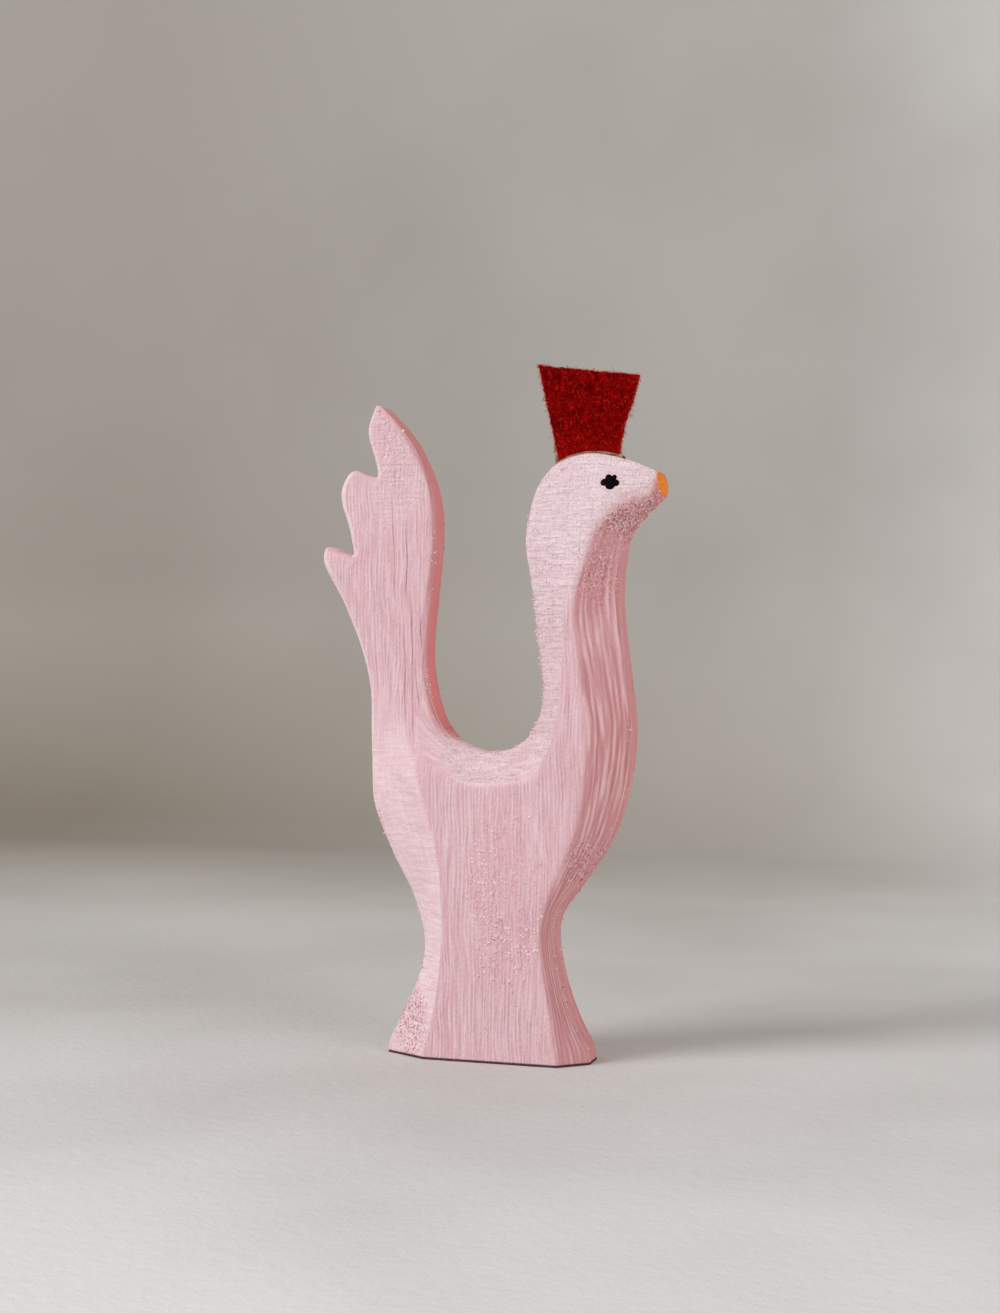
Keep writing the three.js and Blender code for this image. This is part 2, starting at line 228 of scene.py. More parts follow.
def smoothed(values, edges, rounds, amount=0.5):
    """Moves each value towards its neighbours' mean; amount may differ from point to point."""
    total = len(values)
    ends, others = np.concatenate([edges, edges[:, ::-1]]).T
    count = np.maximum(np.bincount(ends, minlength=total), 1)
    amounts = np.broadcast_to(amount, total)
    columns = list(values.reshape(total, -1).T)
    for _ in range(rounds):
        for k, column in enumerate(columns):
            mean = np.bincount(ends, column[others], total) / count
            columns[k] = column + amounts * (mean - column)
    return np.stack(columns, axis=1).reshape(values.shape)


# ---- carved body

def grain_relief(points, side):
    """Brushed grain, -1 in grooves to 1 on ridges: up the side faces, along the outline on bevels."""
    sway = noise(points, (0.12, 0.12, 0.045), 11)[:, None] * (1.3, 0, 0)
    wobble = noise(points, (0.6, 0.6, 0.2), 12)[:, None] * (0.22, 0.1, 0)
    along = points + sway + wobble
    up = noise(along, (3.1, 0.3, 0.16), 14)
    outline = noise(along, (0.12, 3.0, 0.14), 15)
    return np.clip(side * up + (1 - side) * outline, -1, 1)


TAIL_GROOVES = [  # x, z of the top end, x, z of the bottom end, half width of deep grain lines
    ((-11.7, 67.0), (-11.0, 46.5), 0.17),
    ((-10.3, 66.0), (-8.8, 46.0), 0.17),
    ((-12.9, 61.0), (-12.0, 48.0), 0.13),
    ((-9.4, 61.0), (-7.6, 48.0), 0.14),
    ((-11.0, 58.0), (-9.9, 47.0), 0.12),
    ((-14.7, 80.0), (-14.1, 67.0), 0.12),
    ((-12.6, 78.0), (-12.2, 66.0), 0.1),
]
CHIN_GRAIN = (21.2, 78.2, 6.4, 6.4)  # x, z, half width, half height of open end grain
NECK_GRAIN = (16.6, 70.5, 4.0, 10.0)
BREAST_GRAIN = (14.4, 28.5, 5.0, 6.5)
FOOT_GRAIN = (-11.4, 4.6, 4.0, 7.5)
PAINT_BLOBS = [  # x, z, radius, height of drops of paint
    (-16.7, 83.6, 0.6, 0.22),
    (-20.4, 72.3, 0.6, 0.22),
    (0.8, 43.9, 0.5, 0.18),
]
BARE_SPOTS = [  # x, z, half width, half height where the paint is thin and the wood shows
    (3.1, 33.0, 0.9, 1.3),
    (19.6, 85.7, 1.0, 0.4),
    (15.0, 1.6, 0.6, 1.4),
    (5.0, 26.0, 0.5, 0.8),
]
ORANGE_LINE = ((52.0, 23.0), (52.1, 18.0), 0.14)  # z, x of its ends, half width of a stray brush line
ROUGH_PATCH = (3.6, 24.0, 6.5, 17.0)
ROUGH_FEATHER = (-15.5, 90.0, 5.5, 9.0)
SHADE_FACING = (0.93, 0, -0.37)  # the way that the bevels with painted shade face, painted redder and darker: towards the front, and down
FOOT_EXTRA = 1.5  # how far the foot is carried on below the floor before it is cut off
FOOT_FLARE = 0.019  # how much wider it gets there per millimetre, as a share of its width


def side_mask(normals):
    """1 on the board's two side faces, 0 on bevels and edges."""
    return smoothstep(np.abs(normals[:, 1]), 0.93, 0.99)


def body_masks(points, normals, edges):
    """Where the figure's kinds of surface are, and which faces turn away from the window to take
    painted shade, as soft masks from 0 to 1.
    """
    x, y, z = points.T
    backward, _, upward = (normals * (-1, 1, 1)).T
    # Faces turned away from the window light: their paint gets painted shade, redder and darker.
    facing = normals @ np.array(SHADE_FACING)
    warmth = smoothed(smoothstep(facing, 0.18, 0.52), edges, 9)
    side = smoothed(side_mask(normals), edges, 2)
    ragged = 0.35 * noise(points, (0.9, 0.9, 0.7), 29)
    band = 1 - smoothstep(np.abs(y), HALF_BAND - 0.1, HALF_BAND + 0.3)
    front = smoothstep(x, 2, 5)
    head = smoothstep(z, 60, 72) * front * (1 - warmth)
    chamfer = smoothstep(backward, 0.2, 0.5) * front
    saddle = smoothstep(upward, 0.25, 0.6) * (z < 60) * (np.abs(x) < 9)
    feather = spot(points, -14, 88, 7, 14) * side
    back_bevel = smoothstep(backward, 0.15, 0.35) * (x < 0)
    brushed = np.clip(np.maximum.reduce([head, chamfer, saddle, 0.6 * feather]), 0, 1)
    open_grain = np.maximum.reduce([
        spot(points, *CHIN_GRAIN, core=0.3) * warmth,
        0.5 * spot(points, *NECK_GRAIN, core=0.1) * warmth,
        0.6 * spot(points, *BREAST_GRAIN, core=0.1) * warmth,
        spot(points, *FOOT_GRAIN, core=0.4) * back_bevel,
    ])
    open_grain = np.clip(open_grain * (1 + ragged), 0, 1)
    rough_patch = np.maximum(spot(points, *ROUGH_PATCH), 0.5 * spot(points, *ROUGH_FEATHER))
    return {
        "warmth": warmth,
        "brushed": brushed,
        "open_grain": open_grain,
        "band": band,
        "rough_patch": rough_patch * side,
        "calm": np.clip(1 - 0.8 * brushed - 0.75 * back_bevel, 0, 1),
        "bare": np.max([spot(points, *place) for place in BARE_SPOTS], axis=0),
        "side": side,
        "tail": smoothstep(-x, -1, 1),
        "under": smoothstep(-upward, 0.8, 0.95) * (z < 0.4),
    }


def foot_lowered(points):
    """Carries the foot on below the floor, so that its bottom edge is sharp once it is cut off."""
    points = points.copy()
    low = points[:, 2] < 0.01
    points[low, 0] *= 1 + FOOT_FLARE * FOOT_EXTRA
    points[low, 2] -= FOOT_EXTRA
    return points


def foot_cut_off(points):
    points = points.copy()
    below = np.maximum(-points[:, 2], 0)
    points[:, 0] /= 1 + FOOT_FLARE * below
    points[:, 2] += below
    return points


def carve_body():
    """The carved figure, with brushed grain, end grain, drops of paint and worn edges in its mesh."""
    piece = remeshed("wood_body", BODY_VOXEL, "painted_figure", GRAIN_STRETCH, foot_lowered)
    mesh = piece.data
    edges = edges_of(mesh)
    points = foot_cut_off(points_of(mesh))
    exact = points.copy()
    kept = inside(points, KERF_BOX)
    on_band = np.abs(points[:, 1]) < HALF_BAND + 0.15
    low = points[:, 2] < 1
    amount = 0.5 * np.where(low, 0, np.where(on_band, EDGE_SHARE, 1))
    points = smoothed(points, edges, SMOOTH_ROUNDS, amount)
    soft = np.max([spot(points, *place) for place in SOFT_SPOTS], axis=0)
    points = smoothed(points, edges, SOFT_ROUNDS, 0.5 * soft)
    put_points(mesh, points)
    normals = normals_of(mesh)
    masks = body_masks(points, normals, edges)
    calm, open_grain = masks["calm"], masks["open_grain"]
    band = masks.pop("band")

    # Each kind of relief is a height in millimetres times a noise, where its mask allows it.
    grain = grain_relief(points, masks["side"])
    relief = grain * calm * (0.02 + 0.008 * masks["warmth"])
    relief += masks["rough_patch"] * 0.05 * noise(points, (2.0, 2.0, 1.2), 23)
    relief += open_grain * 0.06 * noise(points, (2.6, 2.6, 1.6), 21)
    relief += 0.03 * noise(points, (0.25, 0.25, 0.18), 25)
    relief += 0.018 * masks["brushed"] * noise(points, (0.5, 0.5, 1.2), 26)
    relief += 0.03 * band * noise(points, (1.5, 1.5, 0.9), 27)
    for x, z, radius, height in PAINT_BLOBS:
        relief += height * spot(points, x, z, radius, radius)
    relief *= smoothstep(points[:, 2], 0, 0.6)
    relief[kept] = 0
    points = points + normals * relief[:, None]
    points[kept] = exact[kept]
    points[:, 2] = np.maximum(points[:, 2], 0)
    put_points(mesh, points)

    put_attribute(mesh, "ridge", np.clip(0.5 + 0.5 * grain * calm, 0, 1))
    for name, values in masks.items():
        put_attribute(mesh, name, values)
    return piece


WHISKERS = 900
WHISKER_STEPS = 3
WHISKER_BAND = 0.45  # how near the edge band's border they stand
WHISKER_HEIGHTS = (1.5, 80)  # z between which they stand
WHISKERS_IN_FRONT_OF = -17  # x of the feather tips, which have none
WHISKER_RADII = (0.045, 0.11)  # fine and coarse
WHISKER_RADIUS_SHARES = (0.7, 0.3)


def torn_whiskers(body):
    """Short torn fibres, stiff with paint, that stand out along the saw-cut edges."""
    rng = np.random.default_rng(SEED + 1)
    points = points_of(body.data)
    normals = normals_of(body.data)
    x, y, z = points.T
    low, high = WHISKER_HEIGHTS
    on_edge = (np.abs(np.abs(y) - HALF_BAND) < WHISKER_BAND) * (np.abs(normals[:, 0]) > 0.35)
    within = (z > low) * (z < high) * (x > WHISKERS_IN_FRONT_OF)
    patchy = smoothstep(noise(points, (0.25, 0.25, 0.2), 61), -0.5, 0.6)
    likely = on_edge * within * patchy
    chosen = rng.choice(len(points), WHISKERS, replace=False, p=likely / likely.sum())
    tufts = FibreTuft(WHISKER_STEPS, 0.3, rng)
    for index in chosen:
        heading = normals[index] + rng.normal(0, 0.55, 3)
        start = points[index] - 0.06 * normals[index]
        thick = rng.choice(WHISKER_RADII, p=WHISKER_RADIUS_SHARES)
        length = rng.uniform(0.2, 0.45) + thick
        tufts.grow(start, heading, length, 0, thick * rng.uniform(0.8, 1.3), rng.uniform(0, 1))
    return tufts.piece("paint_whiskers")


BELLY_CRUMBS = (640, 0.62, 0.22)  # how many, greatest length, greatest radius
GRAIN_CRUMBS = (420, 0.45, 0.14)
CRUMB_STEPS = 5
CRUMB_SIDES = 6
LOWEST_CRUMB = 0.8  # z


def paint_crumbs(body):
    """Crumbs of dry paint that lie on the rough places of the belly, the chin and the foot."""
    rng = np.random.default_rng(SEED + 2)
    points = points_of(body.data)
    normals = normals_of(body.data)
    clusters = smoothstep(noise(points, (0.3, 0.3, 0.12), 71), -0.35, 0.5)
    belly = read_attribute(body.data, "rough_patch") * clusters
    grain = read_attribute(body.data, "open_grain") ** 2 * (points[:, 2] > LOWEST_CRUMB)
    lying = FibreTuft(CRUMB_STEPS, 0.3, rng, CRUMB_SIDES, rounded)
    for likely, (count, longest, thickest) in ((belly, BELLY_CRUMBS), (grain, GRAIN_CRUMBS)):
        for index in rng.choice(len(points), count, replace=False, p=likely / likely.sum()):
            heading = np.array([rng.normal(0, 0.4), rng.normal(0, 0.4), rng.choice((-1, 1))])
            heading -= normals[index] * (heading @ normals[index])
            start = points[index] - 0.02 * normals[index]
            radius = thickest * rng.uniform(0.5, 1)
            length = longest * rng.uniform(0.3, 1)
            lying.grow(start, heading, length, 0, radius, rng.uniform(0.3, 0.9))
    return lying.piece("paint_crumbs")


# ---- beak and eyes

COAT_LINE_TOP = (24.35, 86.0)  # the slanting line where the orange coat starts
COAT_LINE_BOTTOM = (25.75, 78.0)
COAT_BEHIND = 22.5  # x behind which the body is surely bare of it
COAT_WAVE = 0.07  # how far the brush wandered off the line
COAT_RAISED = 0.06
COAT_RIM_RAISED = 0.02
COAT_DEPTH = 0.16


def coat_wave(vertex):
    """How far the coat's edge is off its straight line at a point, in metres."""
    return COAT_WAVE * MM * math.sin(vertex.co.z / MM * 4.1 + vertex.co.y / MM * 2.3)


def beak_coat(body):
    """A thin coat over the tip of the beak, cut from the body's own surface and thickened."""
    made = bmesh.new()
    made.from_mesh(body.data)
    away = [face for face in made.faces if face.calc_center_median().x < COAT_BEHIND * MM]
    bmesh.ops.delete(made, geom=away, context="FACES")
    bmesh.ops.subdivide_edges(made, edges=made.edges[:], cuts=1, use_grid_fill=True)
    for vertex in made.verts:
        vertex.co.x += coat_wave(vertex)
    top, bottom = (Vector((x, 0, z)) * MM for x, z in (COAT_LINE_TOP, COAT_LINE_BOTTOM))
    along = (bottom - top).normalized()
    across = Vector((-along.z, 0, along.x))
    geometry = made.verts[:] + made.edges[:] + made.faces[:]
    bmesh.ops.bisect_plane(made, geom=geometry, plane_co=top, plane_no=-across, clear_outer=True)
    for vertex in made.verts:
        vertex.co.x -= coat_wave(vertex)
    loose = [vertex for vertex in made.verts if not vertex.link_faces]
    bmesh.ops.delete(made, geom=loose, context="VERTS")
    bmesh.ops.triangulate(made, faces=made.faces[:])
    made.normal_update()
    coat = thick_skin(made, COAT_RAISED, COAT_DEPTH)
    made.free()
    return piece_from("orange_beak_coat", *coat)


def thick_skin(surface, raised, depth):
    """Points and faces of a closed skin: an open surface raised, its sunk copy, and a rim."""
    surface.verts.index_update()
    count = len(surface.verts)
    points = np.array([vertex.co / MM for vertex in surface.verts])
    normals = np.array([vertex.normal for vertex in surface.verts])
    rim = np.zeros(count)
    for edge in surface.edges:
        if edge.is_boundary:
            rim[[vertex.index for vertex in edge.verts]] = 1
    lift = raised * (1 - rim) + COAT_RIM_RAISED * rim
    outer = points + normals * lift[:, None]
    inner = points - normals * depth
    sheet = [[vertex.index for vertex in face.verts] for face in surface.faces]
    loops = [edge.link_loops[0] for edge in surface.edges if edge.is_boundary]
    border = [(loop.vert.index, loop.link_loop_next.vert.index) for loop in loops]
    return np.concatenate([outer, inner]), closed_skin(sheet, border, count)


EYE = (18.45, 82.45)
# The round brush touches that make up the eye: x and z from its centre, and radius.
EYE_TOUCHES = [
    (0, 0, 0.88),
    (-0.85, -0.08, 0.52),
    (-0.3, 0.66, 0.42),
    (0.52, 0.64, 0.36),
    (0.84, -0.2, 0.47),
    (0.05, -0.42, 0.72),
]
EYE_SPOKES = 72
EYE_RINGS = 14
EYE_HEIGHT = 0.2
EYE_LIFT = 0.01
EYE_SUNK = 0.12
EYE_BRUSHED = 0.03  # height of the brush marks on it
BESIDE_BOARD = 12  # y that is well outside the board


def eye_reach(turn):
    """How far the eye's edge is from its centre in the direction of an angle."""
    ux, uz = math.cos(turn), math.sin(turn)
    reaches = [0]
    for x, z, radius in EYE_TOUCHES:
        across = x * uz - z * ux
        if abs(across) < radius:
            reaches.append(x * ux + z * uz + math.sqrt(radius * radius - across * across))
    return max(reaches)


def eye_dab(body_tree, side, name):
    """A domed dab of paint on one side of the head. side is -1 or 1 along y."""
    points = []
    rings = [(EYE[0], EYE[1], 0.0)]
    for ring in range(1, EYE_RINGS + 1):
        share = math.sin(ring / EYE_RINGS * math.pi / 2)
        for spoke in range(EYE_SPOKES):
            turn = spoke / EYE_SPOKES * 2 * math.pi
            reach = eye_reach(turn) * share
            rings.append((EYE[0] + reach * math.cos(turn), EYE[1] + reach * math.sin(turn), share))
    for sunk in (False, True):
        for x, z, share in rings:
            start = Vector((x, side * BESIDE_BOARD, z)) * MM
            hit = body_tree.ray_cast(start, Vector((0, -side, 0)))[0]
            dome = EYE_HEIGHT * math.sqrt(max(0.0, 1 - share**4))
            brush = EYE_BRUSHED * math.sin(5 * x + 2 * z) * (1 - share)
            height = -EYE_SUNK if sunk else dome + brush + EYE_LIFT
            points.append((x, hit.y / MM + side * height, z))

    def at(ring, spoke):
        return 0 if ring == 0 else 1 + (ring - 1) * EYE_SPOKES + spoke % EYE_SPOKES

    sheet, rim = [], []
    for spoke in range(EYE_SPOKES):
        for ring in range(EYE_RINGS):
            face = [at(ring, spoke), at(ring + 1, spoke), at(ring + 1, spoke + 1)]
            if ring:
                face.append(at(ring, spoke + 1))
            sheet.append(face[::-side])
        rim.append([at(EYE_RINGS, spoke), at(EYE_RINGS, spoke + 1)][::-side])
    return piece_from(name, points, closed_skin(sheet, rim, len(rings)))


# ---- felt comb and glue

def felt_place(across, up):
    """x, z of the felt at a share of its width (0 left, 1 right) and of its height (0 root, 1 top)."""
    if up < BASE_SHARE:
        part = up / BASE_SHARE
        left = part_way((COMB_BASE_LEFT[0] + COMB_ROOT_TAPER, COMB_ROOT), COMB_BASE_LEFT, part)
        right = part_way((COMB_BASE_RIGHT[0], COMB_ROOT), COMB_BASE_RIGHT, part)
    else:
        part = (up - BASE_SHARE) / (1 - BASE_SHARE)
        left = part_way(COMB_BASE_LEFT, COMB_TOP_LEFT, part)
        right = part_way(COMB_BASE_RIGHT, COMB_TOP_RIGHT, part)
        bow = COMB_BOW * math.sin(math.pi * min(1, part / COMB_BOW_SHARE))
        right = (right[0] - bow, right[1])
    return part_way(left, right, across)


def felt_bend(x, z):
    """How far the felt leans out of the board's middle plane, more towards its free top corners."""
    free = max(0.0, (z - COMB_BASE_LEFT[1]) / (COMB_TOP_LEFT[1] - COMB_BASE_LEFT[1]))
    return 0.55 * free * free * math.sin(0.35 * (x - 8)) - 0.25 * free


FELT_SPAN = 14  # about how wide and tall it is, which turns shares of it into millimetres
FELT_EDGE_ROUND = 0.35  # how far in from the edge the rounding starts
FELT_EDGE_HALF = 0.12  # half thickness at the very edge


def felt_slab():
    """The felt as a thick sheet with rough faces and a softly rounded, uneven cut edge."""
    columns, rows = FELT_COLUMNS, FELT_ROWS
    grid = np.array([
        (*felt_place(i / columns, j / rows), i / columns, j / rows)
        for j in range(rows + 1)
        for i in range(columns + 1)
    ])
    x, z, across, up = grid.T
    flat = np.stack([x, np.zeros_like(x), z], axis=1)
    bend = np.array([felt_bend(a, b) for a, b in zip(x, z)])
    rim = np.minimum.reduce([across, 1 - across, 1 - up]) * FELT_SPAN
    round_off = np.sqrt(np.clip(1 - (1 - np.clip(rim / FELT_EDGE_ROUND, 0, 1)) ** 2, 0, 1))
    edge_wave = 0.16 * noise(flat, (1.6, 1, 1.6), 41) + 0.1 * noise(flat, (3.1, 1, 3.1), 42)
    free = np.clip((z - COMB_BASE_LEFT[1]) / 2, 0, 1)
    outward = np.where(rim < 0.01, edge_wave * free, 0)
    x = x + outward * np.where(across > 0.5, 1, -1) * (np.minimum(across, 1 - across) < 0.001)
    z = z + outward * (1 - up < 0.001)
    sheets = []
    for side, seed in ((-1, 43), (1, 44)):
        rough = 0.07 * noise(flat, (1.1, 1, 1.1), seed) + 0.05 * noise(flat, (2.6, 1, 2.6), seed + 5)
        half = FELT_EDGE_HALF + (FELT_HALF - FELT_EDGE_HALF + rough * free) * round_off
        sheets.append(np.stack([x, bend + side * half, z], axis=1))

    def at(i, j):
        return j * (columns + 1) + i

    sheet = [
        [at(i, j), at(i + 1, j), at(i + 1, j + 1), at(i, j + 1)]
        for j in range(rows)
        for i in range(columns)
    ]
    outline = [at(i, 0) for i in range(columns)] + [at(columns, j) for j in range(rows)]
    outline += [at(i, rows) for i in range(columns, 0, -1)] + [at(0, j) for j in range(rows, 0, -1)]
    faces = closed_skin(sheet, zip(outline, outline[1:] + outline[:1]), len(grid))
    return piece_from("felt_comb_sheet", np.concatenate(sheets), faces)


def thinning(share):
    """How thick a fibre is, from its root at 0 to its tip at 1."""
    return 1 - 0.6 * share**2


def rounded(share):
    """How thick a crumb is from one end to the other."""
    return 0.15 + 0.85 * math.sqrt(max(0.0, 1 - (2 * share - 1) ** 2))


NO_FIBRE_WAY = (0.3, 0.5, 0.81)  # a direction that no fibre keeps to, to find one across it


def fibre(points, radius, sides, thickness):
    """Points and faces of one closed fibre or crumb along a short line."""
    rings = []
    last = len(points) - 1
    for index, point in enumerate(points):
        ahead = points[min(index + 1, last)] - points[max(index - 1, 0)]
        ahead = ahead / (np.linalg.norm(ahead) + 1e-9)
        sideways = np.cross(ahead, NO_FIBRE_WAY)
        sideways /= np.linalg.norm(sideways) + 1e-9
        third = np.cross(ahead, sideways)
        here = radius * thickness(index / last)
        for turn in np.linspace(0, 2 * math.pi, sides, endpoint=False):
            rings.append(point + here * (math.cos(turn) * sideways + math.sin(turn) * third))
    return rings, tube_faces(len(points), sides)


class FibreTuft:
    """Many wavy fibres or crumbs gathered into one mesh, each with a tone of its own."""

    def __init__(self, steps, wander, rng, sides=3, thickness=thinning):
        self.sides = sides
        self.thickness = thickness
        self.steps = steps
        self.wander = wander
        self.rng = rng
        self.points, self.faces, self.tones = [], [], []

    def grow(self, start, heading, length, lift, radius, tone):
        line = [np.array(start, float)]
        heading = np.array(heading, float)
        for _ in range(self.steps):
            heading = heading + self.rng.normal(0, self.wander, 3) * (1, 0.45, 1)
            heading /= np.linalg.norm(heading)
            line.append(line[-1] + heading * length / self.steps)
        line = np.array(line)
        line[:, 1] += lift * np.sin(np.linspace(0, math.pi, self.steps + 1))
        rings, faces = fibre(line, radius, self.sides, self.thickness)
        offset = len(self.points)
        self.points.extend(rings)
        self.faces.extend([[index + offset for index in face] for face in faces])
        self.tones.extend([tone] * len(rings))

    def piece(self, name):
        piece = piece_from(name, self.points, self.faces)
        put_attribute(piece.data, "tone", self.tones)
        return piece


FUZZ_FROM = 0.23  # share of the felt's height where it leaves the kerf


def felt_fuzz():
    """Loose wool fibres that lie matted on the felt's faces and stand out from its cut edges."""
    rng = np.random.default_rng(SEED)
    tuft = FibreTuft(4, 0.34, rng)
    for _ in range(FELT_FIBRES):
        side = rng.choice((-1, 1))
        x, z = felt_place(rng.uniform(0.01, 0.99), rng.uniform(FUZZ_FROM + 0.005, 0.99))
        turn = rng.uniform(0, 2 * math.pi)
        heading = (math.cos(turn), side * 0.1, math.sin(turn))
        start = (x, felt_bend(x, z) + side * (FELT_HALF - 0.01), z)
        length = rng.uniform(0.3, 1.1)
        radius = FIBRE_RADIUS * rng.uniform(0.8, 2.0)
        tuft.grow(start, heading, length, side * rng.uniform(0.02, 0.12), radius, rng.beta(1.2, 2.6))
    edges = [  # share of the fibres, an edge's ends, and which way its fibres point
        (0.34, (0, FUZZ_FROM), (0, 1), (-1, 0, 0.1)),
        (0.29, (1, FUZZ_FROM), (1, 1), (1, 0, 0.1)),
        (0.37, (0, 1), (1, 1), (0, 0, 1)),
    ]
    shares = [edge[0] for edge in edges]
    # The fibres that stand out from the cut edges get bright tones: a painted highlight along the
    # felt's rim.
    for _ in range(FELT_EDGE_FIBRES):
        _, low_end, high_end, outward = edges[rng.choice(len(edges), p=shares)]
        x, z = felt_place(*part_way(low_end, high_end, rng.uniform(0, 1)))
        heading = np.array(outward) + rng.normal(0, 0.8, 3)
        heading /= np.linalg.norm(heading)
        y = felt_bend(x, z) + rng.uniform(-0.45, 0.45)
        start = (x - 0.12 * outward[0], y, z - 0.12 * outward[2])
        radius = FIBRE_RADIUS * rng.uniform(0.6, 1.1)
        tuft.grow(start, heading, rng.uniform(0.18, 0.5), 0, radius, rng.uniform(0.6, 1))
    return tuft.piece("felt_comb_fibres")


GLUE_VOXEL = 0.11
LIP_FROM = (0.9, 1.15)  # y where the lip starts, and where it is complete
LIP_SUNK = 0.12


def glue_bead():
    """The dried glue, its squeezed-out lip lumpy and pulled in by drying."""
    piece = remeshed("comb_glue", GLUE_VOXEL, "dried_glue_bead")
    mesh = piece.data
    edges = edges_of(mesh)
    points = smoothed(points_of(mesh), edges, 3)
    put_points(mesh, points)
    normals = normals_of(mesh)
    lip = smoothstep(np.abs(points[:, 1]), *LIP_FROM)
    lumps = 0.09 * noise(points, (0.9, 1.2, 1.2), 51) + 0.05 * noise(points, (2.2, 2.2, 2.2), 52)
    lumps -= 0.06
    points = points + normals * (lumps * lip)[:, None]
    points[:, 2] -= LIP_SUNK * lip
    put_points(mesh, points)
    return piece


GLUE_RUN_TOP = 88.6  # how far the glue creeps up the back edge of the felt
GLUE_RUN_BOTTOM = 85.6
GLUE_RUN_HALF = (0.5, 0.62)  # its greatest half width in x and y
GLUE_RUN_OUT = 0.12  # how far its middle is out from the felt's edge
GLUE_RUN_RINGS = 20
GLUE_RUN_SPOKES = 16


def glue_run():
    """A thin spindle of glue that crept up the felt's back edge and dried there."""
    points = []
    for ring in range(GLUE_RUN_RINGS + 1):
        share = ring / GLUE_RUN_RINGS
        z = GLUE_RUN_BOTTOM + share * (GLUE_RUN_TOP - GLUE_RUN_BOTTOM)
        up = (z - COMB_ROOT) / (COMB_TOP_LEFT[1] - COMB_ROOT)
        x = felt_place(0, max(up, BASE_SHARE))[0]
        bulge = math.sqrt(max(0.0, math.sin(math.pi * (0.12 + 0.88 * share))))
        swell = bulge * (1 - 0.5 * share) + 0.02
        half_x, half_y = (half * swell for half in GLUE_RUN_HALF)
        for spoke in range(GLUE_RUN_SPOKES):
            turn = spoke / GLUE_RUN_SPOKES * 2 * math.pi
            across = felt_bend(x, z) + half_y * math.sin(turn)
            points.append((x - GLUE_RUN_OUT + half_x * math.cos(turn), across, z))
    return piece_from("dried_glue_run", points, tube_faces(GLUE_RUN_RINGS + 1, GLUE_RUN_SPOKES))


# ---- materials

def tint(red, green, blue):
    """A colour given as 0 to 255 display values, as Blender's linear values."""
    linear = [
        value / 255 / 12.92 if value <= 10 else ((value / 255 + 0.055) / 1.055) ** 2.4
        for value in (red, green, blue)
    ]
    return (*linear, 1)


